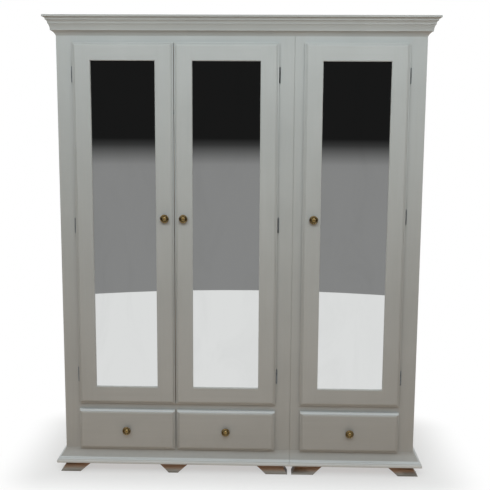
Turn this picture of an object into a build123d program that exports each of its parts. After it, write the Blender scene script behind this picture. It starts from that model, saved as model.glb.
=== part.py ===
"""Painted armoire: a two-door carcass and a one-door carcass joined side by side.

Millimetres. +Z is up, the front faces -Y, and the origin is on the floor under the middle of the
bounding box. Every physical piece is its own solid, and every node is one STEP file.
"""

import os

from build123d import *

# ---------------------------------------------------------------- overall sizes
CARCASS_WIDTH = 1590.0
DOUBLE_WIDTH = 1027.0
CARCASS_DEPTH = 560.0
FOOT_HEIGHT = 45.0
CARCASS_TOP = 1990.0
TOTAL_HEIGHT = 2040.0
CORNICE_PROJECTION = 48.0
BASE_PROJECTION = 38.0

X_LEFT = -CARCASS_WIDTH / 2
X_RIGHT = CARCASS_WIDTH / 2
X_SEAM = X_LEFT + DOUBLE_WIDTH
Y_FRONT = -(CARCASS_DEPTH + CORNICE_PROJECTION) / 2 + CORNICE_PROJECTION
Y_BACK = Y_FRONT + CARCASS_DEPTH

# ---------------------------------------------------------------- boards
SIDE_T = 20.0
FRAME_T = 22.0
PANEL_T = 18.0
HOUSING = 6.0
BACK_T = 10.0
BACK_REBATE = 10.0
STILE_W = 90.0
SEAM_CHAMFER = 2.0

BOTTOM_RAIL_TOP = 116.0
MID_RAIL_BOTTOM = 283.0
DECK_TOP = 334.0
TOP_RAIL_BOTTOM = 1918.0
MUNTIN_LEFT = X_LEFT + 491.0
MUNTIN_W = 35.0
DIVIDER_T = 19.0

BOTTOM_TOP = FOOT_HEIGHT + PANEL_T
Y_INNER = Y_FRONT + FRAME_T
Y_BOARDS = Y_BACK - BACK_T

# ---------------------------------------------------------------- lay-on doors and drawer fronts
FRONT_GAP = 1.0
DOOR_T = 22.0
Y_DOOR_BACK = Y_FRONT - FRONT_GAP
Y_DOOR_FACE = Y_DOOR_BACK - DOOR_T
DOOR_BOTTOM = 326.0
DOOR_TOP = 1930.0
DOOR_STILE = 79.0
DOOR_TOP_RAIL = 78.0
DOOR_BOTTOM_RAIL = 80.0
SIGHT_BEVEL = 2.5
MIRROR_REBATE = 7.0
MIRROR_DEPTH = 14.0
GLASS_T = 4.0
BACKING_T = 4.0
BEAD_W = 13.0
TENON_T = 7.0
TENON_LENGTH = 45.0

MOULDING_W = 14.0
MOULDING_D = 9.0
OVOLO_W = 6.5
OVOLO_D = 3.8
QUIRK = 1.2

DRAWER_BOTTOM = 109.0
DRAWER_TOP = 295.5
BOX_BOTTOM = 119.0
BOX_TOP = 274.0
BOX_LENGTH = 480.0
BOX_SIDE_T = 12.0
BOX_FRONT_T = 15.0
BOX_CLEARANCE = 2.0
BOX_BACK_SETBACK = 10.0
BOX_BACK_DROP = 8.0
PLY_T = 6.0
PLY_GROOVE = 5.0
PLY_BOTTOM = BOX_BOTTOM + 12.0
RUNNER_T = 20.0
RUNNER_LAP = 22.0
RUNNER_GAP = 0.6
RUNNER_END_GAP = 8.0
KICKER_GAP = 2.0
TAILS = 3
TAIL_ROOT = 22.0
TAIL_FLARE = 4.0

KNOB_PROJECTION = 25.0
KNOB_R = 19.0
DOOR_KNOB_Z = 1174.0
DRAWER_KNOB_Z = 203.0
KNOB_SCREW_R = 2.0
KNOB_SCREW_REACH = 15.0

# ---------------------------------------------------------------- magnetic catches
CATCH_W = 38.0
CATCH_H = 13.0
CATCH_D = 18.0
POLE_T = 2.5
POLE_REACH = 0.6
STRIKE_T = 1.2
STRIKE_HALF_W = 16.0
STRIKE_HALF_H = 5.5

# ---------------------------------------------------------------- butt hinges
HINGE_LENGTH = 65.0
HINGE_R = 3.2
HINGE_OFFSET = 3.8
HINGE_PIN_R = 1.2
HINGE_PIN_HEAD_R = 2.1
HINGE_PIN_CLEARANCE = 0.05
LEAF_T = 1.6
LEAF_REACH = 18.0
KNUCKLES = 5
KNUCKLE_GAP = 0.4
Y_HINGE = Y_FRONT - HINGE_R - 0.2
HINGE_SCREW_X = 12.0
HINGE_SCREW_SPACING = 22.0
HINGE_SCREW_LENGTH = 15.0
SCREW_SLOT_LENGTH = 8.0
SCREW_SLOT_W = 0.8
SCREW_SLOT_DEPTH = 0.8

# ---------------------------------------------------------------- cornice and feet
CORNICE_BOTTOM = 1957.0
CORNICE_DECK_T = 6.0
CORNICE_FRAME_T = 22.0
BASE_JOINT_GAP = 1.0
CUTTER_MARGIN = 60.0
MITRE_DEPTH = 40.0
FOOT_FLARE_TOP = -4.0
FOOT_FLARE_BOTTOM = 23.0
FOOT_BOARD_T = 18.0
FOOT_CUT_RUN = 61.0
OUTER_FOOT_LENGTH = 91.0
JOINED_FOOT_LENGTH = 99.0
FOOT_RETURN_LENGTH = 60.0
JOINED_INSET = 32.0
MIDDLE_FOOT_X = X_LEFT + 495.0
MIDDLE_FOOT_W = 43.0
BRACE_W = 40.0
BRACE_DEPTH = 45.0
REAR_FOOT_INSET = 12.0
REAR_FOOT_LENGTH = 50.0
REAR_FOOT_DEPTH = 48.0
REAR_FOOT_LIP = 10.0

# ---------------------------------------------------------------- fittings inside
SHELF_BOTTOM = 1700.0
SHELF_FRONT = Y_FRONT + 50.0
CLEAT_W = 20.0
CLEAT_H = 25.0
CLEAT_SETBACK = 15.0
SOCKET_WALL = 3.5
SOCKET_FLANGE_R = 20.0
SOCKET_FLANGE_T = 2.5
SOCKET_LENGTH = 14.0
RAIL_Z = 1640.0
RAIL_Y = (Y_INNER + Y_BOARDS) / 2
RAIL_R = 12.5
RAIL_WALL = 1.5
BOLT_R = 4.0
BOLT_HEIGHTS = (480.0, 1560.0)
BOLT_DEPTHS = (Y_FRONT + 80.0, Y_BACK - 70.0)

# name: left and right edges of each lay-on door, its hinge side (-1 left, +1 right), hinge heights
DOORS = {
    "left": (X_LEFT + 70.0, X_LEFT + 505.5, -1, (457.0, 1138.0, 1794.0)),
    "middle": (X_LEFT + 508.5, X_LEFT + 960.0, 1, (457.0, 1146.0, 1794.0)),
    "right": (X_LEFT + 1069.0, X_LEFT + 1518.0, 1, (457.0, 1187.0, 1794.0)),
}
# distance of each knob and magnetic catch from the closing edge of its door
KNOB_INSET = {"left": 39.5, "middle": 39.5, "right": 48.0}
CATCH_INSET = {"left": 45.0, "middle": 45.0, "right": 75.0}
# left and right edges of each lay-on drawer front
DRAWERS = {
    "left": (X_LEFT + 68.0, X_LEFT + 503.0),
    "middle": (X_LEFT + 514.0, X_LEFT + 957.0),
    "right": (X_LEFT + 1073.0, X_LEFT + 1519.0),
}
# drawer name: left and right edges of its opening in the face frame
DRAWER_OPENINGS = {
    "left": (X_LEFT + STILE_W, MUNTIN_LEFT),
    "middle": (MUNTIN_LEFT + MUNTIN_W, X_SEAM - STILE_W),
    "right": (X_SEAM + STILE_W, X_RIGHT - STILE_W),
}
# carcass name: outer faces of its two side panels
CARCASSES = {"double": (X_LEFT, X_SEAM), "single": (X_SEAM, X_RIGHT)}
BACK_BOARDS = {"double": 10, "single": 5}


# ---------------------------------------------------------------- shape helpers
def block(x0, x1, y0, y1, z0, z1):
    """Rectangular board between two corners."""
    centre = Pos((x0 + x1) / 2, (y0 + y1) / 2, (z0 + z1) / 2)
    return centre * Box(abs(x1 - x0), abs(y1 - y0), abs(z1 - z0))


def closed_face(edges):
    """Flat face inside a closed run of edges."""
    return Face(Wire(edges))


def polygon(points):
    """Flat face with straight sides."""
    pairs = zip(points, points[1:] + points[:1])
    return closed_face([Line(start, end) for start, end in pairs])


def bowed(start, end, rise):
    """Arc from start to end whose middle stands rise to the left of the straight line."""
    (x0, y0), (x1, y1) = start, end
    length = ((x1 - x0) ** 2 + (y1 - y0) ** 2) ** 0.5
    middle = ((x0 + x1) / 2 - (y1 - y0) / length * rise, (y0 + y1) / 2 + (x1 - x0) / length * rise)
    return ThreePointArc(start, middle, end)


def along_z(face, z0, z1):
    """Extrude an (x, y) face from z0 to z1."""
    return extrude(Plane.XY.offset(z0) * face, amount=z1 - z0, dir=(0, 0, 1))


def along_x(face, x0, x1):
    """Extrude a (y, z) face from x0 to x1."""
    return extrude(Plane.YZ.offset(x0) * face, amount=x1 - x0, dir=(1, 0, 0))


def along_y(face, y0, y1):
    """Extrude an (x, z) face from y0 to y1."""
    return extrude(Plane.XZ.offset(-y1) * face, amount=y1 - y0, dir=(0, -1, 0))


def turned(points, pointing, place):
    """Solid of revolution; points are (radius, height), and height runs along pointing."""
    profile = Plane.XZ * polygon(points)
    shape = revolve(profile, Axis.Z)
    tilt = {"-Y": Rot(X=90), "+Y": Rot(X=-90), "+Z": Rot(), "+X": Rot(Y=90), "-X": Rot(Y=-90)}
    return Pos(*place) * tilt[pointing] * shape


def flat_screw(place, pointing, length, shank=1.6, head=3.2):
    """Countersunk wood screw with its head at place and its point along pointing."""
    cone = head - shank
    points = [(0, 0), (head, 0), (shank, cone), (shank, length - 3), (0, length)]
    return turned(points, pointing, place)


def slotted(screw, place, pointing):
    """The same screw with a driver slot across its head; it points along +Y or -Y."""
    x, y, z = place
    depth = SCREW_SLOT_DEPTH if pointing == "+Y" else -SCREW_SLOT_DEPTH
    reach = SCREW_SLOT_LENGTH / 2
    half = SCREW_SLOT_W / 2
    return screw - block(x - reach, x + reach, *sorted((y - depth, y + depth)), z - half, z + half)


def solids_of(shapes):
    """All solids in a list of shapes, as one flat list."""
    return [solid for shape in shapes for solid in shape.solids()]


def write(name, *shapes):
    """Write one node: a single solid, or several separate solids side by side."""
    solids = solids_of(shapes)
    shape = solids[0] if len(solids) == 1 else Compound(children=solids)
    export_step(shape, f"parts/{name}.step")


# ---------------------------------------------------------------- moulded lay-on panels
def moulded_face(low, high, upright):
    """Section of a panel with a moulded front edge: an ovolo, a quirk and a bevel on each side.

    The first axis is across the panel and the second is depth; upright swaps them for a (y, z) face.
    """

    def at(across, depth):
        y = Y_DOOR_FACE + depth
        return (y, across) if upright else (across, y)

    def edge_points(edge, inward):
        return [
            at(edge, MOULDING_D),
            at(edge + inward * OVOLO_W, OVOLO_D),
            at(edge + inward * OVOLO_W, OVOLO_D + QUIRK),
            at(edge + inward * (OVOLO_W + QUIRK), OVOLO_D + QUIRK),
            at(edge + inward * (OVOLO_W + QUIRK), OVOLO_D - 0.4),
            at(edge + inward * MOULDING_W, 0),
        ]

    near = edge_points(low, 1)
    far = edge_points(high, -1)
    bulge = 1.2 if upright else -1.2
    edges = [Line(at(low, DOOR_T), near[0]), bowed(near[0], near[1], -bulge)]
    edges += [Line(a, b) for a, b in zip(near[1:], near[2:])]
    edges.append(Line(near[-1], far[-1]))
    edges += [Line(a, b) for a, b in zip(far[:0:-1], far[-2:0:-1])]
    edges.append(bowed(far[1], far[0], -bulge))
    edges.append(Line(far[0], at(high, DOOR_T)))
    edges.append(Line(at(high, DOOR_T), at(low, DOOR_T)))
    return closed_face(edges)


def moulded_panel(x0, x1, z0, z1):
    """Board with the edge moulding worked on all four sides of its face."""
    upright = along_z(moulded_face(x0, x1, False), z0, z1)
    level = along_x(moulded_face(z0, z1, True), x0, x1)
    return upright & level


def sight_of(name):
    """Visible mirror opening of a door: x0, x1, z0, z1."""
    x0, x1 = DOORS[name][:2]
    return x0 + DOOR_STILE, x1 - DOOR_STILE, DOOR_BOTTOM + DOOR_BOTTOM_RAIL, DOOR_TOP - DOOR_TOP_RAIL


def sight_cutter(x0, x1, z0, z1):
    """Opening through a door, bevelled where it meets the face."""
    y_far = Y_DOOR_BACK + 1
    y_near = Y_DOOR_FACE - 1
    flare = SIGHT_BEVEL + 1

    def outline(low, high, upright):
        points = [
            (low, y_far),
            (low, Y_DOOR_FACE + SIGHT_BEVEL),
            (low - flare, y_near),
            (high + flare, y_near),
            (high, Y_DOOR_FACE + SIGHT_BEVEL),
            (high, y_far),
        ]
        return polygon([(y, across) for across, y in points] if upright else points)

    upright = along_z(outline(x0, x1, False), z0 - flare, z1 + flare)
    level = along_x(outline(z0, z1, True), x0 - flare, x1 + flare)
    return upright & level


# ---------------------------------------------------------------- hinges
def hinge_axis_x(name):
    """X of a door's hinge line, just outside its hung edge."""
    x0, x1, side, _ = DOORS[name]
    edge = x0 if side < 0 else x1
    return edge + side * HINGE_OFFSET


def knuckle_spans(z):
    """Lowest and highest point of each knuckle of a hinge centred at z."""
    pitch = HINGE_LENGTH / KNUCKLES
    bottom = z - HINGE_LENGTH / 2
    spans = []
    for index in range(KNUCKLES):
        low = bottom + index * pitch + (KNUCKLE_GAP / 2 if index else 0)
        high = bottom + (index + 1) * pitch - (KNUCKLE_GAP / 2 if index < KNUCKLES - 1 else 0)
        spans.append((low, high))
    return spans


def rod(x, y, z0, z1, radius):
    """Upright round bar."""
    return Pos(x, y, (z0 + z1) / 2) * Cylinder(radius, z1 - z0)


def hinge_screws(name, z, y, pointing, with_slot=False):
    """The three screws through one leaf; plain ones also serve as cutters for their own holes."""
    x = hinge_axis_x(name) - DOORS[name][2] * HINGE_SCREW_X
    screws = []
    for height in (z - HINGE_SCREW_SPACING, z, z + HINGE_SCREW_SPACING):
        place = (x, y, height)
        screw = flat_screw(place, pointing, HINGE_SCREW_LENGTH)
        screws.append(slotted(screw, place, pointing) if with_slot else screw)
    return screws


def hinge_plate(name, z, start, y0, y1):
    """Flat of a leaf, from start to its full reach from the hinge line."""
    axis = hinge_axis_x(name)
    side = DOORS[name][2]
    half = HINGE_LENGTH / 2
    x0, x1 = sorted((axis - side * start, axis - side * LEAF_REACH))
    return block(x0, x1, y0, y1, z - half, z + half)


def frame_leaf(name, z):
    """Leaf let into the face frame: the plate and the odd knuckles."""
    axis = hinge_axis_x(name)
    leaf = hinge_plate(name, z, -LEAF_T, Y_FRONT, Y_FRONT + LEAF_T)
    for low, high in knuckle_spans(z)[0::2]:
        leaf += rod(axis, Y_HINGE, low, high, HINGE_R)
        leaf += block(axis - LEAF_T, axis + LEAF_T, Y_HINGE, Y_FRONT + LEAF_T, low, high)
    leaf -= rod(axis, Y_HINGE, z - HINGE_LENGTH, z + HINGE_LENGTH, HINGE_PIN_R + HINGE_PIN_CLEARANCE)
    for screw in hinge_screws(name, z, Y_FRONT, "+Y"):
        leaf -= screw
    return leaf


def door_leaf(name, z):
    """Leaf let into the back of a door: the plate and the even knuckles."""
    axis = hinge_axis_x(name)
    side = DOORS[name][2]
    start = HINGE_OFFSET + 0.1
    leaf = hinge_plate(name, z, start, Y_DOOR_BACK - LEAF_T, Y_DOOR_BACK)
    for low, high in knuckle_spans(z)[1::2]:
        leaf += rod(axis, Y_HINGE, low, high, HINGE_R)
        x0, x1 = sorted((axis, axis - side * start))
        leaf += block(x0, x1, Y_DOOR_BACK - LEAF_T, Y_DOOR_BACK, low, high)
    leaf -= rod(axis, Y_HINGE, z - HINGE_LENGTH, z + HINGE_LENGTH, HINGE_PIN_R + HINGE_PIN_CLEARANCE)
    for screw in hinge_screws(name, z, Y_DOOR_BACK, "-Y"):
        leaf -= screw
    return leaf


def hinge_pin(name, z):
    """Loose pin with a small button head at each end."""
    seat = HINGE_LENGTH / 2 + 0.2
    shoulder = seat + 1.0
    crown = seat + 1.8
    points = [
        (0, -crown),
        (HINGE_PIN_R, -crown),
        (HINGE_PIN_HEAD_R, -shoulder),
        (HINGE_PIN_HEAD_R, -seat),
        (HINGE_PIN_R, -seat),
        (HINGE_PIN_R, seat),
        (HINGE_PIN_HEAD_R, seat),
        (HINGE_PIN_HEAD_R, shoulder),
        (HINGE_PIN_R, crown),
        (0, crown),
    ]
    return turned(points, "+Z", (hinge_axis_x(name), Y_HINGE, z))


# ---------------------------------------------------------------- knobs and catches
def knob(x, z, wood):
    """Ringed round knob on a small rose, and the screw that holds it through wood of this thickness."""
    reach = KNOB_PROJECTION
    points = [
        (KNOB_SCREW_R, 0),
        (10.5, 0),
        (11.5, 1.2),
        (11.0, 2.6),
        (8.0, 3.4),
        (7.0, 6.0),
        (7.5, 9.5),
        (11.0, 12.0),
        (16.8, 13.6),
        (KNOB_R, 15.6),
        (KNOB_R, 17.6),
        (17.7, 19.4),
        (15.3, 20.2),
        (14.1, 19.4),
        (12.8, 19.4),
        (11.9, 20.6),
        (10.8, 21.2),
        (10.1, 20.8),
        (9.2, 21.8),
        (6.7, 23.6),
        (3.4, reach - 0.4),
        (0, reach),
        (0, KNOB_SCREW_REACH),
        (KNOB_SCREW_R, KNOB_SCREW_REACH),
    ]
    head = turned(points, "-Y", (x, Y_DOOR_FACE, z))
    cone = 2.2
    screw_points = [
        (0, 0),
        (KNOB_SCREW_R + cone, 0),
        (KNOB_SCREW_R, cone),
        (KNOB_SCREW_R, wood + KNOB_SCREW_REACH),
        (0, wood + KNOB_SCREW_REACH),
    ]
    screw = turned(screw_points, "-Y", (x, Y_DOOR_FACE + wood, z))
    return [head, screw]


def catch_x(name):
    """Middle of a door's magnetic catch, near its closing edge and clear of the face frame."""
    x0, x1, side, _ = DOORS[name]
    return x1 - CATCH_INSET[name] if side < 0 else x0 + CATCH_INSET[name]


def strike_plate(name):
    """Steel plate let into the door's back, with its screw."""
    x = catch_x(name)
    z = TOP_RAIL_BOTTOM - CATCH_H / 2
    half_w = STRIKE_HALF_W
    half_h = STRIKE_HALF_H
    plate = block(x - half_w, x + half_w, Y_DOOR_BACK - STRIKE_T, Y_DOOR_BACK, z - half_h, z + half_h)
    screw = flat_screw((x, Y_DOOR_BACK, z), "-Y", 13.0, 1.4, 2.5)
    return [plate - screw, screw]


def magnetic_catch(name):
    """Catch under the top rail: its case, and two pole plates that just reach the door."""
    x = catch_x(name)
    z1 = TOP_RAIL_BOTTOM
    z0 = z1 - CATCH_H
    case = block(x - CATCH_W / 2, x + CATCH_W / 2, Y_FRONT + 1.5, Y_FRONT + CATCH_D, z0, z1)
    poles = []
    for low in (z0 + POLE_T, z1 - 2 * POLE_T):
        pole = block(x - 13, x + 13, Y_FRONT - POLE_REACH, Y_FRONT + 12, low, low + POLE_T)
        case -= pole
        poles.append(pole)
    return [case, *poles]


# ---------------------------------------------------------------- doors
def door_frame(name):
    """Two stiles and two rails, tenoned together, rebated for the mirror and moulded outside."""
    x0, x1, _, hinge_heights = DOORS[name]
    s0, s1, g0, g1 = sight_of(name)
    r = MIRROR_REBATE
    blank = moulded_panel(x0, x1, DOOR_BOTTOM, DOOR_TOP) - sight_cutter(s0, s1, g0, g1)
    blank -= block(s0 - r, s1 + r, Y_DOOR_BACK - MIRROR_DEPTH, Y_DOOR_BACK + 1, g0 - r, g1 + r)
    for z in hinge_heights:
        blank -= hinge_plate(name, z, 0, Y_DOOR_BACK - LEAF_T, Y_DOOR_BACK + 1)
        for screw in hinge_screws(name, z, Y_DOOR_BACK, "-Y"):
            blank -= screw
    for piece in strike_plate(name):
        blank -= piece
    for piece in knob(knob_x(name), DOOR_KNOB_Z, DOOR_T):
        blank -= piece
    tenon_y0 = Y_DOOR_BACK - MIRROR_DEPTH
    tenon_y1 = tenon_y0 + TENON_T
    rails = []
    tenons = []
    for z0, z1, t0, t1 in (
        (DOOR_BOTTOM, (g0 + g1) / 2, DOOR_BOTTOM + 18, g0 - 14),
        ((g0 + g1) / 2, DOOR_TOP, g1 + 14, DOOR_TOP - 18),
    ):
        rail = block(s0, s1, Y_DOOR_FACE - 1, Y_DOOR_BACK + 1, z0, z1)
        for edge, outward in ((s0, -1), (s1, 1)):
            ends = sorted((edge, edge + outward * TENON_LENGTH))
            tenon = block(*ends, tenon_y0, tenon_y1, t0, t1)
            tenons.append(tenon)
            rail += tenon
        rails.append(blank & rail)
    stiles = []
    for low, high in ((x0 - 1, s0), (s1, x1 + 1)):
        stile = blank & block(low, high, Y_DOOR_FACE - 1, Y_DOOR_BACK + 1, DOOR_BOTTOM, DOOR_TOP)
        for tenon in tenons:
            stile -= tenon
        stiles.append(stile)
    return stiles + rails


def knob_x(name):
    """Knob position, on the closing stile."""
    x0, x1, side, _ = DOORS[name]
    return x1 - KNOB_INSET[name] if side < 0 else x0 + KNOB_INSET[name]


def mirror_glass(name):
    """Silvered glass in the rebate, with a little room all round."""
    s0, s1, g0, g1 = sight_of(name)
    room = MIRROR_REBATE - 0.5
    y0 = Y_DOOR_BACK - MIRROR_DEPTH
    return block(s0 - room, s1 + room, y0, y0 + GLASS_T, g0 - room, g1 + room)


def mirror_backing(name):
    """Hardboard behind the glass, and the four beads that hold it."""
    s0, s1, g0, g1 = sight_of(name)
    room = MIRROR_REBATE - 0.5
    y0 = Y_DOOR_BACK - MIRROR_DEPTH + GLASS_T
    y1 = y0 + BACKING_T
    panel = block(s0 - room, s1 + room, y0, y1, g0 - room, g1 + room)
    x0, x1, z0, z1 = s0 - room, s1 + room, g0 - room, g1 + room
    beads = [
        block(x0, x0 + BEAD_W, y1, Y_DOOR_BACK, z0, z1),
        block(x1 - BEAD_W, x1, y1, Y_DOOR_BACK, z0, z1),
        block(x0 + BEAD_W, x1 - BEAD_W, y1, Y_DOOR_BACK, z0, z0 + BEAD_W),
        block(x0 + BEAD_W, x1 - BEAD_W, y1, Y_DOOR_BACK, z1 - BEAD_W, z1),
    ]
    return [panel, *beads]


def make_door(name):
    """All nodes of one mirrored door."""
    hinge_heights = DOORS[name][3]
    leaves = []
    for z in hinge_heights:
        leaves.append(door_leaf(name, z))
        leaves += hinge_screws(name, z, Y_DOOR_BACK, "-Y", with_slot=True)
    write(f"{name}_door_frame", *door_frame(name))
    write(f"{name}_door_mirror", mirror_glass(name))
    write(f"{name}_door_mirror_backing", *mirror_backing(name))
    write(f"{name}_door_hinge_leaves", *leaves)
    write(f"{name}_door_strike_plate", *strike_plate(name))
    write(f"{name}_door_knob", *knob(knob_x(name), DOOR_KNOB_Z, DOOR_T))


# ---------------------------------------------------------------- drawers
def tails(x0, x1, y_tip, y_root, z0, z1):
    """Dovetails that stand on the front end of a drawer side."""
    pitch = (z1 - z0) / TAILS
    shapes = []
    for index in range(TAILS):
        z = z0 + (index + 0.5) * pitch
        root = TAIL_ROOT / 2
        tip = root + TAIL_FLARE
        outline = [(y_root, z - root), (y_tip, z - tip), (y_tip, z + tip), (y_root, z + root)]
        shapes.append(along_x(polygon(outline), x0, x1))
    return shapes


def drawer_box(name):
    """Dovetailed box: two sides, the sub-front and the back, grooved for the ply bottom."""
    open0, open1 = DRAWER_OPENINGS[name]
    x0 = open0 + BOX_CLEARANCE
    x1 = open1 - BOX_CLEARANCE
    y0 = Y_DOOR_BACK
    y1 = y0 + BOX_LENGTH
    sub_y = y0 + BOX_FRONT_T
    groove = ply_bottom(name)
    sides = []
    sub_front = block(x0, x1, y0, sub_y, BOX_BOTTOM, BOX_TOP)
    for low, high in ((x0, x0 + BOX_SIDE_T), (x1 - BOX_SIDE_T, x1)):
        side = block(low, high, sub_y, y1, BOX_BOTTOM, BOX_TOP)
        for tail in tails(low, high, y0, sub_y, BOX_BOTTOM, BOX_TOP):
            side += tail
            sub_front -= tail
        sides.append(side - groove)
    sub_front -= groove
    centre = (DRAWERS[name][0] + DRAWERS[name][1]) / 2
    for piece in knob(centre, DRAWER_KNOB_Z, DOOR_T + BOX_FRONT_T):
        sub_front -= piece
    inner0 = x0 + BOX_SIDE_T
    inner1 = x1 - BOX_SIDE_T
    back_y = y1 - BOX_BACK_SETBACK
    back = block(inner0, inner1, back_y - BOX_SIDE_T, back_y, PLY_BOTTOM + PLY_T, BOX_TOP - BOX_BACK_DROP)
    return [*sides, sub_front, back]


def ply_bottom(name):
    """Thin ply that slides in the grooves of the drawer box."""
    open0, open1 = DRAWER_OPENINGS[name]
    x0 = open0 + BOX_CLEARANCE + BOX_SIDE_T - PLY_GROOVE
    x1 = open1 - BOX_CLEARANCE - BOX_SIDE_T + PLY_GROOVE
    y0 = Y_DOOR_BACK + BOX_FRONT_T - PLY_GROOVE
    return block(x0, x1, y0, Y_DOOR_BACK + BOX_LENGTH, PLY_BOTTOM, PLY_BOTTOM + PLY_T)


def make_drawer(name):
    """All nodes of one drawer."""
    x0, x1 = DRAWERS[name]
    pull = knob((x0 + x1) / 2, DRAWER_KNOB_Z, DOOR_T + BOX_FRONT_T)
    front = moulded_panel(x0, x1, DRAWER_BOTTOM, DRAWER_TOP)
    for piece in pull:
        front -= piece
    write(f"{name}_drawer_front", front)
    write(f"{name}_drawer_box", *drawer_box(name))
    write(f"{name}_drawer_bottom", ply_bottom(name))
    write(f"{name}_drawer_knob", *pull)


def runner_set(wall0, wall1, open0, open1):
    """Bearer, guide and kicker at both sides of one drawer, between the carcass walls."""
    y0 = Y_INNER
    y1 = Y_BOARDS - RUNNER_END_GAP
    top = BOX_BOTTOM - RUNNER_GAP
    shapes = []
    for wall, edge, inward in ((wall0, open0, 1), (wall1, open1, -1)):
        lap = edge + inward * RUNNER_LAP
        guide = edge + inward * (BOX_CLEARANCE - RUNNER_GAP)
        shapes.append(block(*sorted((wall, lap)), y0, y1, top - RUNNER_T, top))
        shapes.append(block(*sorted((wall, guide)), y0, y1, top, top + RUNNER_T))
        kicker = sorted((edge + inward * BOX_CLEARANCE, lap))
        shapes.append(block(*kicker, y0, y1, BOX_TOP + KICKER_GAP, DECK_TOP - PANEL_T))
    return shapes


def make_runners():
    """Bearers, guides and kickers of the three drawers."""
    inner_left = X_LEFT + SIDE_T
    divider0, divider1 = divider_span()
    shapes = runner_set(inner_left, divider0, *DRAWER_OPENINGS["left"])
    shapes += runner_set(divider1, X_SEAM - SIDE_T, *DRAWER_OPENINGS["middle"])
    shapes += runner_set(X_SEAM + SIDE_T, X_RIGHT - SIDE_T, *DRAWER_OPENINGS["right"])
    write("drawer_runners", *shapes)


def divider_span():
    """Faces of the upright panel between the two drawers of the double carcass."""
    middle = MUNTIN_LEFT + MUNTIN_W / 2
    return middle - DIVIDER_T / 2, middle + DIVIDER_T / 2


# ---------------------------------------------------------------- carcasses
def housed_panels(name):
    """Bottom, deck and top of a carcass; each runs into the sides by the depth of its housing."""
    outer0, outer1 = CARCASSES[name]
    x0 = outer0 + SIDE_T - HOUSING
    x1 = outer1 - SIDE_T + HOUSING
    levels = {
        "bottom_panel": (FOOT_HEIGHT, BOTTOM_TOP),
        "drawer_deck": (DECK_TOP - PANEL_T, DECK_TOP),
        "top_panel": (CARCASS_TOP - PANEL_T, CARCASS_TOP),
    }
    return {piece: block(x0, x1, Y_INNER, Y_BOARDS, low, high) for piece, (low, high) in levels.items()}


def connector_bolts():
    """Sleeve bolts that pull the two carcasses together through their meeting sides."""
    shapes = []
    for z in BOLT_HEIGHTS:
        for y in BOLT_DEPTHS:
            for face, pointing in ((X_SEAM - SIDE_T, "+X"), (X_SEAM + SIDE_T, "-X")):
                head = [(0, -2.4), (6.0, -2.4), (8.0, -0.8), (8.0, 0)]
                points = [*head, (BOLT_R, 0), (BOLT_R, SIDE_T), (0, SIDE_T)]
                shapes.append(turned(points, pointing, (face, y, z)))
    return shapes


def side_panel(x0, x1, inward, cutters):
    """Side board with housings for the panels and a rebate for the back boards."""
    side = block(x0, x1, Y_INNER, Y_BACK, FOOT_HEIGHT, CARCASS_TOP)
    inner = x1 if inward > 0 else x0
    rebate = sorted((inner, inner - inward * BACK_REBATE))
    side -= block(*rebate, Y_BOARDS, Y_BACK, FOOT_HEIGHT, CARCASS_TOP)
    for cutter in cutters:
        side -= cutter
    return side


def back_boards(name):
    """Tongued and grooved boards with a small V along each joint on the inside."""
    outer0, outer1 = CARCASSES[name]
    low = outer0 + SIDE_T - BACK_REBATE
    high = outer1 - SIDE_T + BACK_REBATE
    count = BACK_BOARDS[name]
    width = (high - low) / count
    tongue = 5.0
    vee = 1.8
    t0 = Y_BOARDS + 3.6
    t1 = Y_BOARDS + 6.6
    boards = []
    for index in range(count):
        a = low + index * width
        b = a + width
        left_vee = vee if index else 0.0
        right_vee = vee if index < count - 1 else 0.0
        points = [(a, Y_BACK), (a, Y_BOARDS + left_vee)]
        points += [(a + left_vee, Y_BOARDS)] if left_vee else []
        points += [(b - right_vee, Y_BOARDS)] if right_vee else []
        points += [(b, Y_BOARDS + right_vee), (b, Y_BACK)]
        board = along_z(polygon(points), FOOT_HEIGHT, CARCASS_TOP)
        if index:
            board -= block(a, a + tongue, t0, t1, FOOT_HEIGHT, CARCASS_TOP)
        if index < count - 1:
            board += block(b, b + tongue, t0, t1, FOOT_HEIGHT, CARCASS_TOP)
        boards.append(board)
    return boards


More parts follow.
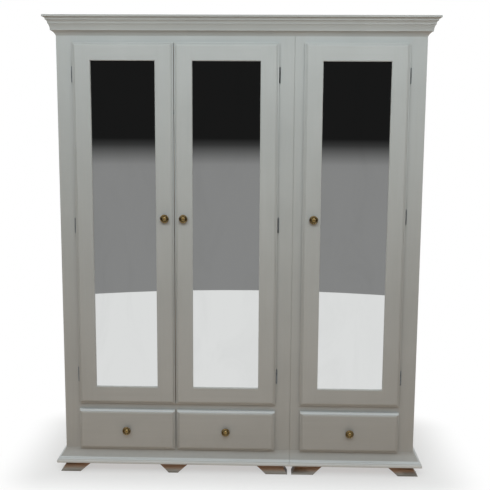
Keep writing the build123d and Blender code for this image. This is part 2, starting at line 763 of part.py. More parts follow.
def face_frame(name):
    """Stiles and rails of a carcass front, chamfered at the seam and cut for the hinge leaves."""
    outer0, outer1 = CARCASSES[name]
    in0 = outer0 + STILE_W
    in1 = outer1 - STILE_W
    tenon_y0 = Y_FRONT + FRAME_T / 2 - TENON_T / 2
    tenon_y1 = tenon_y0 + TENON_T
    stiles = [
        block(outer0, in0, Y_FRONT, Y_INNER, FOOT_HEIGHT, CARCASS_TOP),
        block(in1, outer1, Y_FRONT, Y_INNER, FOOT_HEIGHT, CARCASS_TOP),
    ]
    rails = []
    for low, high in (
        (FOOT_HEIGHT, BOTTOM_RAIL_TOP),
        (MID_RAIL_BOTTOM, DECK_TOP),
        (TOP_RAIL_BOTTOM, CARCASS_TOP),
    ):
        rail = block(in0, in1, Y_FRONT, Y_INNER, low, high)
        for edge, outward in ((in0, -1), (in1, 1)):
            ends = sorted((edge, edge + outward * TENON_LENGTH))
            tenon = block(*ends, tenon_y0, tenon_y1, low + 10, high - 10)
            rail += tenon
            stiles = [stile - tenon for stile in stiles]
        rails.append(rail)
    if name == "double":
        muntin = block(
            MUNTIN_LEFT, MUNTIN_LEFT + MUNTIN_W, Y_FRONT, Y_INNER, BOTTOM_RAIL_TOP, MID_RAIL_BOTTOM
        )
        rails.append(muntin)
    chamfer = polygon([
        (X_SEAM - SEAM_CHAMFER, Y_FRONT),
        (X_SEAM, Y_FRONT + SEAM_CHAMFER),
        (X_SEAM + SEAM_CHAMFER, Y_FRONT),
    ])
    stiles = [stile - along_z(chamfer, FOOT_HEIGHT, CARCASS_TOP) for stile in stiles]
    doors = ("left", "middle") if name == "double" else ("right",)
    for door in doors:
        for z in DOORS[door][3]:
            recess = hinge_plate(door, z, -LEAF_T, Y_FRONT - 1, Y_FRONT + LEAF_T)
            stiles = [stile - recess for stile in stiles]
            for screw in hinge_screws(door, z, Y_FRONT, "+Y"):
                stiles = [stile - screw for stile in stiles]
    return stiles + rails


def make_carcass(name, bolts):
    """All fixed boards of one carcass."""
    outer0, outer1 = CARCASSES[name]
    panels = housed_panels(name)
    cutters = [*panels.values(), *bolts]
    write(f"{name}_left_side", side_panel(outer0, outer0 + SIDE_T, 1, cutters))
    write(f"{name}_right_side", side_panel(outer1 - SIDE_T, outer1, -1, cutters))
    for piece, shape in panels.items():
        write(f"{name}_{piece}", shape)
    write(f"{name}_back_boards", *back_boards(name))
    write(f"{name}_face_frame", *face_frame(name))


# ---------------------------------------------------------------- cornice
def cornice_edges(at):
    """Crown moulding outline; at(out, height) places a point."""
    top = TOTAL_HEIGHT - CORNICE_BOTTOM
    run = [
        ("arc", (0, 0), (18, 20), 2.8),
        ("line", (18, 20), (20, 21), 0),
        ("line", (20, 21), (20, 25), 0),
        ("arc", (20, 25), (27, 48), 1.5),
        ("line", (27, 48), (28.5, 48), 0),
        ("line", (28.5, 48), (28.5, 52), 0),
        ("arc", (28.5, 52), (35, 63), 1.3),
        ("line", (35, 63), (36.5, 63), 0),
        ("line", (36.5, 63), (36.5, 67), 0),
        ("arc", (36.5, 67), (46, 75), 2.0),
        ("line", (46, 75), (CORNICE_PROJECTION, 75), 0),
        ("line", (CORNICE_PROJECTION, 75), (CORNICE_PROJECTION, top), 0),
        ("line", (CORNICE_PROJECTION, top), (0, top), 0),
        ("line", (0, top), (0, 0), 0),
    ]
    return place_run(run, at)


def base_edges(at):
    """Base moulding outline: a shallow hollow above, a quirk, and a rounded nose below."""
    run = [
        ("line", (0, 62), (1.5, 62), 0),
        ("arc", (1.5, 62), (28.5, 22.5), -5.0),
        ("line", (28.5, 22.5), (27.2, 20.8), 0),
        ("line", (27.2, 20.8), (31.0, 19.8), 0),
        ("arc", (31.0, 19.8), (BASE_PROJECTION - 1.0, 4.0), 2.8),
        ("arc", (BASE_PROJECTION - 1.0, 4.0), (34.5, 0), 1.0),
        ("line", (34.5, 0), (0, 0), 0),
        ("line", (0, 0), (0, 62), 0),
    ]
    return place_run(run, at)


def place_run(run, at):
    """Edges from a list of lines and arcs given in moulding coordinates."""
    edges = []
    for kind, start, end, rise in run:
        a = at(*start)
        b = at(*end)
        if kind == "line":
            edges.append(Line(a, b))
        else:
            length = ((end[0] - start[0]) ** 2 + (end[1] - start[1]) ** 2) ** 0.5
            out = (start[0] + end[0]) / 2 - (end[1] - start[1]) / length * rise
            height = (start[1] + end[1]) / 2 + (end[0] - start[0]) / length * rise
            edges.append(ThreePointArc(a, at(out, height), b))
    return edges


def front_moulding(edges_of, bottom, x0, x1, mitre_left, mitre_right, reach):
    """Length of moulding along the front, mitred at the outer corners it turns."""
    left = x0 - reach if mitre_left else x0
    right = x1 + reach if mitre_right else x1
    face = closed_face(edges_of(lambda out, height: (Y_FRONT - out, bottom + height)))
    plan = polygon([(x0, Y_FRONT), (left, Y_FRONT - reach), (right, Y_FRONT - reach), (x1, Y_FRONT)])
    return along_x(face, left, right) & along_z(plan, bottom - 1, bottom + 100)


def return_moulding(edges_of, bottom, x, outward, reach):
    """Length of moulding along a side, mitred at the front and square at the back."""
    face = closed_face(edges_of(lambda out, height: (x + outward * out, bottom + height)))
    corner = x + outward * reach
    plan = polygon([(x, Y_FRONT), (corner, Y_FRONT - reach), (corner, Y_BACK), (x, Y_BACK)])
    return along_y(face, Y_FRONT - reach, Y_BACK) & along_z(plan, bottom - 1, bottom + 100)


def make_cornice():
    """Crown moulding in three mitred lengths, on a loose frame that caps both carcasses."""
    reach = CORNICE_PROJECTION
    write(
        "cornice_moulding",
        front_moulding(cornice_edges, CORNICE_BOTTOM, X_LEFT, X_RIGHT, True, True, reach),
        return_moulding(cornice_edges, CORNICE_BOTTOM, X_LEFT, -1, reach),
        return_moulding(cornice_edges, CORNICE_BOTTOM, X_RIGHT, 1, reach),
    )
    t = CORNICE_FRAME_T
    z0 = CARCASS_TOP
    z1 = TOTAL_HEIGHT - CORNICE_DECK_T
    write(
        "cornice_frame",
        block(X_LEFT, X_RIGHT, Y_FRONT, Y_FRONT + t, z0, z1),
        block(X_LEFT, X_RIGHT, Y_BACK - t, Y_BACK, z0, z1),
        block(X_LEFT, X_LEFT + t, Y_FRONT + t, Y_BACK - t, z0, z1),
        block(X_RIGHT - t, X_RIGHT, Y_FRONT + t, Y_BACK - t, z0, z1),
        block(X_SEAM - t / 2, X_SEAM + t / 2, Y_FRONT + t, Y_BACK - t, z0, z1),
        block(X_LEFT, X_RIGHT, Y_FRONT, Y_BACK, z1, TOTAL_HEIGHT),
    )


def make_base_mouldings():
    """Base mouldings: the front of each carcass and its outer side, plain at the seam."""
    reach = BASE_PROJECTION + 2
    half_gap = BASE_JOINT_GAP / 2
    write(
        "double_base_moulding",
        front_moulding(base_edges, FOOT_HEIGHT, X_LEFT, X_SEAM - half_gap, True, False, reach),
        return_moulding(base_edges, FOOT_HEIGHT, X_LEFT, -1, reach),
    )
    write(
        "single_base_moulding",
        front_moulding(base_edges, FOOT_HEIGHT, X_SEAM + half_gap, X_RIGHT, False, True, reach),
        return_moulding(base_edges, FOOT_HEIGHT, X_RIGHT, 1, reach),
    )


# ---------------------------------------------------------------- feet
def foot_section(at):
    """Flared board of a bracket foot, hollowed a little on both faces."""
    top = FOOT_HEIGHT
    t = FOOT_BOARD_T
    run = [
        ("line", (FOOT_FLARE_BOTTOM - t, 0), (FOOT_FLARE_BOTTOM, 0), 0),
        ("arc", (FOOT_FLARE_BOTTOM, 0), (FOOT_FLARE_TOP, top), 2.5),
        ("line", (FOOT_FLARE_TOP, top), (FOOT_FLARE_TOP - t, top), 0),
        ("arc", (FOOT_FLARE_TOP - t, top), (FOOT_FLARE_BOTTOM - t, 0), -2.5),
    ]
    return closed_face(place_run(run, at))


def corner_foot(corner, outward, length):
    """Front board and side return of a corner foot, mitred together and cut on a slant inside."""
    tip = FOOT_FLARE_BOTTOM
    inner = corner + outward * tip - outward * length
    end = inner - outward * (FOOT_CUT_RUN + CUTTER_MARGIN)
    near = Y_FRONT - CUTTER_MARGIN
    rear = Y_FRONT - tip + FOOT_RETURN_LENGTH
    far = rear + FOOT_HEIGHT + CUTTER_MARGIN
    outer = corner + outward * CUTTER_MARGIN
    mitre_inside = (corner - outward * MITRE_DEPTH, Y_FRONT + MITRE_DEPTH)
    mitre_outside = (outer, near)
    front_plan = polygon([mitre_inside, mitre_outside, (end, near), (end, Y_FRONT + MITRE_DEPTH)])
    side_plan = polygon([mitre_inside, mitre_outside, (outer, far), (mitre_inside[0], far)])
    front_outline = polygon([
        (inner, 0),
        (outer, 0),
        (outer, FOOT_HEIGHT),
        (inner - outward * FOOT_CUT_RUN, FOOT_HEIGHT),
    ])
    side_outline = polygon([
        (rear, 0),
        (near, 0),
        (near, FOOT_HEIGHT),
        (rear + FOOT_HEIGHT, FOOT_HEIGHT),
    ])
    front = along_x(foot_section(lambda out, z: (Y_FRONT - out, z)), *sorted((end, outer)))
    front &= along_y(front_outline, near, Y_FRONT + CUTTER_MARGIN)
    front &= along_z(front_plan, 0, FOOT_HEIGHT)
    side = along_y(foot_section(lambda out, z: (corner + outward * out, z)), near, far)
    side &= along_x(side_outline, *sorted((mitre_inside[0], outer)))
    side &= along_z(side_plan, 0, FOOT_HEIGHT)
    return [front, side]


def middle_foot():
    """Flared board under the middle of the double carcass, with a block behind it."""
    half_bottom = MIDDLE_FOOT_W / 2
    half_top = half_bottom + FOOT_CUT_RUN
    outline = polygon([
        (MIDDLE_FOOT_X - half_bottom, 0),
        (MIDDLE_FOOT_X + half_bottom, 0),
        (MIDDLE_FOOT_X + half_top, FOOT_HEIGHT),
        (MIDDLE_FOOT_X - half_top, FOOT_HEIGHT),
    ])
    span = (MIDDLE_FOOT_X - half_top - CUTTER_MARGIN, MIDDLE_FOOT_X + half_top + CUTTER_MARGIN)
    board = along_x(foot_section(lambda out, z: (Y_FRONT - out, z)), *span)
    board &= along_y(outline, Y_FRONT - CUTTER_MARGIN, Y_FRONT + CUTTER_MARGIN)
    inner = Y_FRONT - FOOT_FLARE_TOP + FOOT_BOARD_T
    half = BRACE_W / 2
    brace = block(MIDDLE_FOOT_X - half, MIDDLE_FOOT_X + half, inner, inner + BRACE_DEPTH, 0, FOOT_HEIGHT)
    return [board, brace]


def rear_foot(x, inward):
    """Plain block under a back corner, cut at 45 degrees on its inner side."""
    slant = FOOT_HEIGHT - REAR_FOOT_LIP
    outline = polygon([
        (x, 0),
        (x + inward * REAR_FOOT_LENGTH, 0),
        (x + inward * (REAR_FOOT_LENGTH + slant), slant),
        (x + inward * (REAR_FOOT_LENGTH + slant), FOOT_HEIGHT),
        (x, FOOT_HEIGHT),
    ])
    return along_y(outline, Y_BACK - REAR_FOOT_INSET - REAR_FOOT_DEPTH, Y_BACK - REAR_FOOT_INSET)


def make_feet():
    """Bracket feet along the front and blocks at the back."""
    write(
        "double_front_feet",
        *corner_foot(X_LEFT, -1, OUTER_FOOT_LENGTH),
        *corner_foot(X_SEAM - JOINED_INSET, 1, JOINED_FOOT_LENGTH),
        *middle_foot(),
    )
    write(
        "single_front_feet",
        *corner_foot(X_SEAM + JOINED_INSET, -1, JOINED_FOOT_LENGTH),
        *corner_foot(X_RIGHT, 1, OUTER_FOOT_LENGTH),
    )
    inset = REAR_FOOT_INSET
    write(
        "rear_feet",
        rear_foot(X_LEFT + inset, 1),
        rear_foot(X_SEAM - inset, -1),
        rear_foot(X_SEAM + inset, 1),
        rear_foot(X_RIGHT - inset, -1),
    )


# ---------------------------------------------------------------- hat shelves and hanging rails
def make_interior():
    """Hat shelf on cleats and a hanging rail in each carcass."""
    shelves = []
    rails = []
    sockets = []
    for outer0, outer1 in CARCASSES.values():
        x0 = outer0 + SIDE_T
        x1 = outer1 - SIDE_T
        shelves.append(block(x0, x1, SHELF_FRONT, Y_BOARDS, SHELF_BOTTOM, SHELF_BOTTOM + PANEL_T))
        for wall, inward in ((x0, 1), (x1, -1)):
            span = sorted((wall, wall + inward * CLEAT_W))
            front = SHELF_FRONT + CLEAT_SETBACK
            shelves.append(block(*span, front, Y_BOARDS, SHELF_BOTTOM - CLEAT_H, SHELF_BOTTOM))
            neck = RAIL_R + SOCKET_WALL
            points = [
                (RAIL_R, 0),
                (SOCKET_FLANGE_R, 0),
                (SOCKET_FLANGE_R, SOCKET_FLANGE_T),
                (neck, SOCKET_FLANGE_T + 1.5),
                (neck, SOCKET_LENGTH),
                (RAIL_R, SOCKET_LENGTH),
            ]
            pointing = "+X" if inward > 0 else "-X"
            sockets.append(turned(points, pointing, (wall, RAIL_Y, RAIL_Z)))
        tube = Pos((x0 + x1) / 2, RAIL_Y, RAIL_Z) * Rot(Y=90) * Cylinder(RAIL_R, x1 - x0)
        tube -= Pos((x0 + x1) / 2, RAIL_Y, RAIL_Z) * Rot(Y=90) * Cylinder(RAIL_R - RAIL_WALL, x1 - x0)
        rails.append(tube)
    write("hat_shelves", *shelves)
    write("hanging_rails", *rails)
    write("rail_sockets", *sockets)


# ---------------------------------------------------------------- all nodes
def main():
    os.makedirs("parts", exist_ok=True)
    for name in DOORS:
        make_door(name)
    for name in DRAWERS:
        make_drawer(name)
    bolts = connector_bolts()
    for name in CARCASSES:
        make_carcass(name, bolts)
    write("connector_bolts", *bolts)
    divider0, divider1 = divider_span()
    write("drawer_divider", block(divider0, divider1, Y_INNER, Y_BOARDS, BOTTOM_TOP, DECK_TOP - PANEL_T))
    make_runners()
    make_cornice()
    make_base_mouldings()
    make_feet()
    make_interior()
    leaves = []
    pins = []
    for name, (_, _, _, heights) in DOORS.items():
        for z in heights:
            leaves.append(frame_leaf(name, z))
            leaves += hinge_screws(name, z, Y_FRONT, "+Y", with_slot=True)
            pins.append(hinge_pin(name, z))
    write("frame_hinge_leaves", *leaves)
    write("hinge_pins", *pins)
    write("magnetic_catches", *[piece for name in DOORS for piece in magnetic_catch(name)])


main()
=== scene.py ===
"""Looks of the painted armoire: materials, finer hardware, a plain studio and the camera."""

import math

import bmesh
import bpy
from mathutils import Matrix, Vector


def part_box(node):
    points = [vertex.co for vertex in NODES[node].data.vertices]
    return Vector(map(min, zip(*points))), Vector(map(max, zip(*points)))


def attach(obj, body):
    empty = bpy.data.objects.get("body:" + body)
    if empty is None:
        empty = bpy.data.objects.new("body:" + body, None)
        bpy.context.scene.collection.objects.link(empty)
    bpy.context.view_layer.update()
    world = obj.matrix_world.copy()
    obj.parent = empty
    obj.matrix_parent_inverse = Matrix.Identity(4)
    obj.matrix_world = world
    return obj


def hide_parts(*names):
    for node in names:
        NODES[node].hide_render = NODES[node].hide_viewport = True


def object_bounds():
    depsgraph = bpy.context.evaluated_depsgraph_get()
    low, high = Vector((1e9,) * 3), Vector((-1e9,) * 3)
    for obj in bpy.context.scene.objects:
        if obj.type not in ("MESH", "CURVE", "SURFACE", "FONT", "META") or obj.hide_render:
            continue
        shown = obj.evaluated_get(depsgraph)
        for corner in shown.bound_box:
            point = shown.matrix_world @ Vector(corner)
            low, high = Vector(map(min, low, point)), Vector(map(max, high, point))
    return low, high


for leftover in ("Cube", "Light", "Camera"):
    if leftover in bpy.data.objects:
        bpy.data.objects.remove(bpy.data.objects[leftover])

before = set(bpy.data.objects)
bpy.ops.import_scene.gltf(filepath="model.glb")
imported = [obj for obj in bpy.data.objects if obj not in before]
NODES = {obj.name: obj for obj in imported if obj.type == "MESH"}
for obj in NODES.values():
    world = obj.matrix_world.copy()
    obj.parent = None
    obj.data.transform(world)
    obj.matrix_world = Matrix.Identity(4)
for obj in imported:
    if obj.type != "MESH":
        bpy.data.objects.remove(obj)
CAD_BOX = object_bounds()
DOOR_NAMES = ("left", "middle", "right")
FRONT_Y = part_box("double_face_frame")[0].y
FLOOR_Z = CAD_BOX[0].z


# ---------------------------------------------------------------- shader helper
class Graph:
    """A material's node tree, with short calls for the nodes used here."""

    def __init__(self, name):
        self.material = bpy.data.materials.new(name)
        self.material.use_nodes = True
        self.tree = self.material.node_tree
        self.tree.nodes.clear()
        self.output = self.tree.nodes.new("ShaderNodeOutputMaterial")
        self.shader = self.tree.nodes.new("ShaderNodeBsdfPrincipled")
        self.tree.links.new(self.shader.outputs["BSDF"], self.output.inputs["Surface"])
        self.coordinates = self.add("ShaderNodeTexCoord").outputs["Object"]

    def add(self, kind, **settings):
        node = self.tree.nodes.new(kind)
        for key, value in settings.items():
            setattr(node, key, value)
        return node

    def feed(self, socket, value):
        """Link a socket to a socket, or set it to a plain value."""
        if isinstance(value, bpy.types.NodeSocket):
            self.tree.links.new(value, socket)
        else:
            socket.default_value = value

    def math(self, operation, first, second=0.0):
        node = self.add("ShaderNodeMath", operation=operation)
        self.feed(node.inputs[0], first)
        self.feed(node.inputs[1], second)
        return node.outputs[0]

    def scaled(self, vector, scale, offset=(0, 0, 0)):
        node = self.add("ShaderNodeMapping")
        self.feed(node.inputs["Vector"], vector)
        node.inputs["Scale"].default_value = scale
        node.inputs["Location"].default_value = offset
        return node.outputs[0]

    def noise(self, vector, scale, detail=3.0, roughness=0.5, distortion=0.0):
        node = self.add("ShaderNodeTexNoise")
        self.feed(node.inputs["Vector"], vector)
        node.inputs["Scale"].default_value = scale
        node.inputs["Detail"].default_value = detail
        node.inputs["Roughness"].default_value = roughness
        node.inputs["Distortion"].default_value = distortion
        return node.outputs["Fac"]

    def span(self, value, low, high, out_low=0.0, out_high=1.0):
        """Ease value from low..high to out_low..out_high, held at both ends."""
        node = self.add("ShaderNodeMapRange", interpolation_type="SMOOTHSTEP")
        self.feed(node.inputs["Value"], value)
        limits = {"From Min": low, "From Max": high, "To Min": out_low, "To Max": out_high}
        for key, number in limits.items():
            node.inputs[key].default_value = number
        return node.outputs["Result"]

    def mix(self, amount, first, second):
        node = self.add("ShaderNodeMix", data_type="RGBA", blend_type="MIX")
        self.feed(node.inputs["Factor"], amount)
        self.feed(node.inputs["A"], colour(first))
        self.feed(node.inputs["B"], colour(second))
        return node.outputs["Result"]

    def axes(self):
        node = self.add("ShaderNodeSeparateXYZ")
        self.feed(node.inputs[0], self.coordinates)
        return node.outputs

    def bump(self, height, distance, strength=1.0, below=None):
        node = self.add("ShaderNodeBump")
        node.inputs["Strength"].default_value = strength
        node.inputs["Distance"].default_value = distance
        self.feed(node.inputs["Height"], height)
        if below is not None:
            self.feed(node.inputs["Normal"], below)
        return node.outputs["Normal"]

    def set(self, **values):
        """Set Principled sockets; underscores stand for spaces."""
        for key, value in values.items():
            socket = self.shader.inputs[key.replace("_", " ")]
            self.feed(socket, colour(value) if socket.type == "RGBA" else value)


def colour(value):
    """Three numbers become an opaque colour; anything else passes through."""
    if isinstance(value, (tuple, list)) and len(value) == 3:
        return (*value, 1.0)
    return value


def grey(r, g, b):
    """Linear colour from display values out of 255."""
    def linear(c):
        c /= 255
        return c / 12.92 if c <= 0.04045 else ((c + 0.055) / 1.055) ** 2.4
    return linear(r), linear(g), linear(b)


def shade(tone, factor):
    """The same colour, lighter or darker."""
    return tuple(part * factor for part in tone)


# ---------------------------------------------------------------- paint
PAINT = grey(173, 172, 168)
PAINT_DARK = grey(160, 158, 152)
PAINT_PALE = grey(183, 182, 178)
# Pale cool colour of the painted highlights on ridges and edges.
RIDGE_HIGHLIGHT = grey(222, 227, 229)
# Warm dark grey: dust near the floor, and painted shade that greys the feet and the cornice evenly.
DUST_AND_SHADE_GREY = grey(112, 100, 84)
# Warm brown of the painted shade under the base moulding, on the upper part of the feet.
FOOT_SHADE_BROWN = grey(160, 118, 84)
BRUSH_STRETCH = 0.045
# Widths of a face frame stile, of the glass edge hidden in its rebate and of the painted highlight along
# the drawer's top edge.
FRAME_STILE = 0.09
GLASS_LAP = 0.0065
DRAWER_HIGHLIGHT = 0.007
# Heights of the face frame rails and of the painted highlights on the ridges of the base moulding.
FRAME_RAILS = ((0.0, 0.116), (0.283, 0.334), (1.918, 2.0))
BASE_RIDGE_HIGHLIGHTS = ((FLOOR_Z + 0.049, FLOOR_Z + 0.059), (FLOOR_Z + 0.064, FLOOR_Z + 0.070))


def strip_mask(g, axis, strips):
    """1 inside any of the (low, high) strips along one axis, X, Y or Z."""
    place = g.axes()["XYZ".index(axis)]
    mask = None
    for low, high in strips:
        inside = g.math("MULTIPLY", g.math("GREATER_THAN", place, low), g.math("LESS_THAN", place, high))
        mask = inside if mask is None else g.math("MAXIMUM", mask, inside)
    return mask


def stretched(along, factor):
    """Scale that draws a pattern out along one axis; the smaller the factor, the longer."""
    return tuple(factor if axis == along else 1 for axis in "XYZ")


def paint(name, level=None, along="Z", painted_shade=0.0, foot_shade=False, pale=(), brush=1.0):
    """Eggshell paint laid on with a brush; level is a mask where the brush ran along X.

    The soil amount greys it evenly as painted shade, foot paints warm brown shade on the upper part under
    the base moulding, pale holds the heights of painted highlights where ridges catch the light, and brush
    scales how far the strokes show.
    """
    g = Graph(name)
    strokes = g.noise(g.scaled(g.coordinates, stretched(along, BRUSH_STRETCH)), 260, 4, 0.6)
    broad = g.noise(g.scaled(g.coordinates, stretched(along, BRUSH_STRETCH)), 45, 3, 0.55)
    if level is not None:
        mask = level(g)
        turned = g.scaled(g.coordinates, stretched("X", BRUSH_STRETCH), (0.31, 0.17, 0.53))
        strokes = g.mix(mask, strokes, g.noise(turned, 260, 4, 0.6))
        broad = g.mix(mask, broad, g.noise(turned, 45, 3, 0.55))
    peel = g.noise(g.coordinates, 900, 2, 0.5)
    cloud = g.noise(g.coordinates, 2.3, 4, 0.55)
    fleck = g.noise(g.coordinates, 34, 5, 0.7)
    z = g.axes()[2]
    tone = g.mix(g.span(cloud, 0.36, 0.66), PAINT, shade(PAINT, 0.93))
    tone = g.mix(g.math("MULTIPLY", g.span(broad, 0.40, 0.68), 0.14 * brush), tone, PAINT_DARK)
    tone = g.mix(g.math("MULTIPLY", g.span(strokes, 0.42, 0.72), 0.10 * brush), tone, PAINT_PALE)
    dust = g.math("MULTIPLY", g.span(z, 0.26, 0.02), g.span(fleck, 0.42, 0.80))
    tone = g.mix(g.math("MULTIPLY", dust, 0.10), tone, DUST_AND_SHADE_GREY)
    # Painted shade: the whole part greyed evenly towards the warm dark grey.
    tone = g.mix(painted_shade, tone, DUST_AND_SHADE_GREY)
    # Painted shade: warm brown on the upper part of a foot, where the base moulding shades it.
    if foot_shade:
        shade_under_moulding = g.math("MULTIPLY", g.span(z, 0.006, 0.022), g.span(fleck, 0.20, 0.55, 0.80, 1.0))
        tone = g.mix(g.math("MULTIPLY", shade_under_moulding, 0.80), tone, FOOT_SHADE_BROWN)
    # Painted highlights: pale cool bands where the ridges catch the light.
    for low, high in pale:
        ridge_highlight = g.math("MULTIPLY", g.span(z, low - 0.003, low), g.span(z, high + 0.003, high))
        tone = g.mix(g.math("MULTIPLY", ridge_highlight, 0.80), tone, RIDGE_HIGHLIGHT)
    rough = g.math("ADD", g.span(broad, 0.3, 0.7, 0.40, 0.50), g.span(peel, 0.3, 0.7, -0.02, 0.02))
    normal = g.bump(peel, 0.00002, 0.4)
    normal = g.bump(strokes, 0.00005, 0.4 * brush, normal)
    g.set(Base_Color=tone, Roughness=rough, Normal=normal, Specular_IOR_Level=0.42)
    return g.material


# ---------------------------------------------------------------- bare woods
PINE_LIGHT = grey(224, 188, 138)
PINE_DARK = grey(196, 146, 92)
GRAIN_STRETCH = 0.04
KNOT_STRETCH = 0.5
# Half widths of a seam between back boards, where its shade starts and where it is full.
SEAM_WIDE = 0.0022
SEAM_NARROW = 0.0005


def wood(name, light, dark, along, rings=11.0, roughness=0.52, board=None, knots=True):
    """Waxed softwood: stretched growth rings, pores and an occasional knot.

    Board is the pitch of the boards and where the first one starts; it marks the seams between them.
    """
    g = Graph(name)
    place = g.coordinates
    seam = None
    if board:
        pitch, origin = board
        across = g.math("DIVIDE", g.math("SUBTRACT", g.axes()[0], origin), pitch)
        index = g.math("FLOOR", across)
        middle = g.math("ABSOLUTE", g.math("SUBTRACT", g.math("SUBTRACT", across, index), 0.5))
        seam = g.span(middle, 0.5 - SEAM_WIDE / pitch, 0.5 - SEAM_NARROW / pitch)
        shift = g.add("ShaderNodeCombineXYZ")
        g.feed(shift.inputs[0], g.math("MULTIPLY", index, 0.37))
        g.feed(shift.inputs[1], g.math("MULTIPLY", index, 1.93))
        g.feed(shift.inputs[2], g.math("MULTIPLY", index, 0.71))
        moved = g.add("ShaderNodeVectorMath", operation="ADD")
        g.feed(moved.inputs[0], g.coordinates)
        g.feed(moved.inputs[1], shift.outputs[0])
        place = moved.outputs[0]
    long_way = g.scaled(place, stretched(along, GRAIN_STRETCH))
    flow = g.noise(long_way, rings, 3, 0.5, 0.6)
    ring = g.math("SINE", g.math("MULTIPLY", flow, 90.0))
    ring = g.span(ring, -0.9, 1.1, 0.0, 0.72)
    pores = g.noise(long_way, 420, 3, 0.6)
    tint = g.noise(place, 1.7, 3, 0.5)
    tone = g.mix(ring, light, dark)
    tone = g.mix(g.math("MULTIPLY", g.span(tint, 0.35, 0.7), 0.35), tone, shade(light, 0.72))
    tone = g.mix(g.math("MULTIPLY", g.span(pores, 0.52, 0.75), 0.30), tone, shade(dark, 0.6))
    if knots:
        cells = g.add("ShaderNodeTexVoronoi")
        g.feed(cells.inputs["Vector"], g.scaled(place, stretched(along, KNOT_STRETCH)))
        cells.inputs["Scale"].default_value = 4.6
        knot = g.span(cells.outputs["Distance"], 0.075, 0.02)
        tone = g.mix(g.math("MULTIPLY", knot, 0.75), tone, shade(dark, 0.32))
    normal = g.bump(ring, 0.00012, 0.4)
    normal = g.bump(pores, 0.00008, 0.5, normal)
    if seam is not None:
        tone = g.mix(g.math("MULTIPLY", seam, 0.8), tone, shade(dark, 0.25))
        normal = g.bump(g.math("SUBTRACT", 1.0, seam), 0.0015, 0.8, normal)
    rough = g.span(pores, 0.3, 0.7, roughness - 0.05, roughness + 0.08)
    g.set(Base_Color=tone, Roughness=rough, Normal=normal)
    return g.material


def hardboard():
    """Raw brown hardboard with short fibres."""
    g = Graph("raw_hardboard")
    fibres = g.noise(g.coordinates, 320, 5, 0.7)
    cloud = g.noise(g.coordinates, 14, 3, 0.5)
    tone = g.mix(g.span(fibres, 0.35, 0.68), grey(104, 74, 48), grey(134, 98, 64))
    tone = g.mix(g.math("MULTIPLY", cloud, 0.3), tone, grey(84, 60, 40))
    g.set(Base_Color=tone, Roughness=0.72, Normal=g.bump(fibres, 0.00015, 0.6))
    return g.material


# ---------------------------------------------------------------- glass and metals
def mirror():
    """Silvered glass, very slightly smeared."""
    g = Graph("silvered_glass")
    smear = g.noise(g.scaled(g.coordinates, (1, 1, 0.35)), 7, 4, 0.6, 0.8)
    speck = g.noise(g.coordinates, 260, 2, 0.5)
    rough = g.math("ADD", g.span(smear, 0.45, 0.8, 0.006, 0.022), g.span(speck, 0.72, 0.8, 0.0, 0.03))
    tone = g.mix(g.span(smear, 0.4, 0.8), (0.90, 0.915, 0.91), (0.86, 0.875, 0.87))
    g.set(Base_Color=tone, Metallic=1.0, Roughness=rough)
    return g.material


def metal(name, base, worn, roughness, tarnish=None):
    """Plated or solid metal with fine scratches and a patchy tarnish."""
    g = Graph(name)
    scratch = g.noise(g.scaled(g.coordinates, (1, 1, 0.2)), 420.0, 4, 0.6)
    patch = g.noise(g.coordinates, 38, 4, 0.6)
    tone = g.mix(g.span(patch, 0.38, 0.7), base, worn)
    if tarnish:
        tone = g.mix(g.math("MULTIPLY", g.span(scratch, 0.5, 0.75), 0.5), tone, tarnish)
    rough = g.span(scratch, 0.3, 0.75, roughness - 0.06, roughness + 0.10)
    g.set(Base_Color=tone, Metallic=1.0, Roughness=rough, Normal=g.bump(scratch, 0.00003, 0.5))
    return g.material


def knob_brass():
    """Antiqued brass: near black in the hollows, rubbed bright on the crown and the beads, with painted
    highlight specks round the rim.
    """
    g = Graph("antiqued_brass")
    x, _, z = g.axes()
    radius = g.math("SQRT", g.math("ADD", g.math("MULTIPLY", x, x), g.math("MULTIPLY", z, z)))
    patch = g.noise(g.coordinates, 210, 4, 0.65)
    fine = g.noise(g.coordinates, 1100, 3, 0.6)
    crown = g.span(radius, 0.0096, 0.0070)
    bead = g.math("MULTIPLY", g.span(radius, 0.0143, 0.0155), g.span(radius, 0.0178, 0.0166))
    rubbed = g.math("MAXIMUM", crown, g.math("MULTIPLY", bead, 0.8))
    rubbed = g.math("MULTIPLY", rubbed, g.span(patch, 0.40, 0.62, 0.10, 0.9))
    tone = g.mix(rubbed, grey(58, 46, 28), grey(176, 142, 82))
    tone = g.mix(g.math("MULTIPLY", g.span(patch, 0.5, 0.66), 0.5), tone, grey(92, 48, 26))
    tone = g.mix(g.math("MULTIPLY", g.span(fine, 0.5, 0.8), 0.35), tone, grey(36, 28, 20))
    # Painted highlight: pale specks round the outer rim.
    rim_glint_specks = g.noise(g.coordinates, 520, 3, 0.6)
    glint = g.math("MULTIPLY", g.span(rim_glint_specks, 0.50, 0.66), g.span(radius, 0.0185, 0.0175))
    tone = g.mix(g.math("MULTIPLY", glint, 0.75), tone, grey(214, 190, 138))
    rough = g.math("SUBTRACT", g.span(patch, 0.3, 0.7, 0.30, 0.44), g.math("MULTIPLY", rubbed, 0.14))
    g.set(Base_Color=tone, Metallic=1.0, Roughness=rough, Normal=g.bump(fine, 0.00005, 0.5))
    return g.material


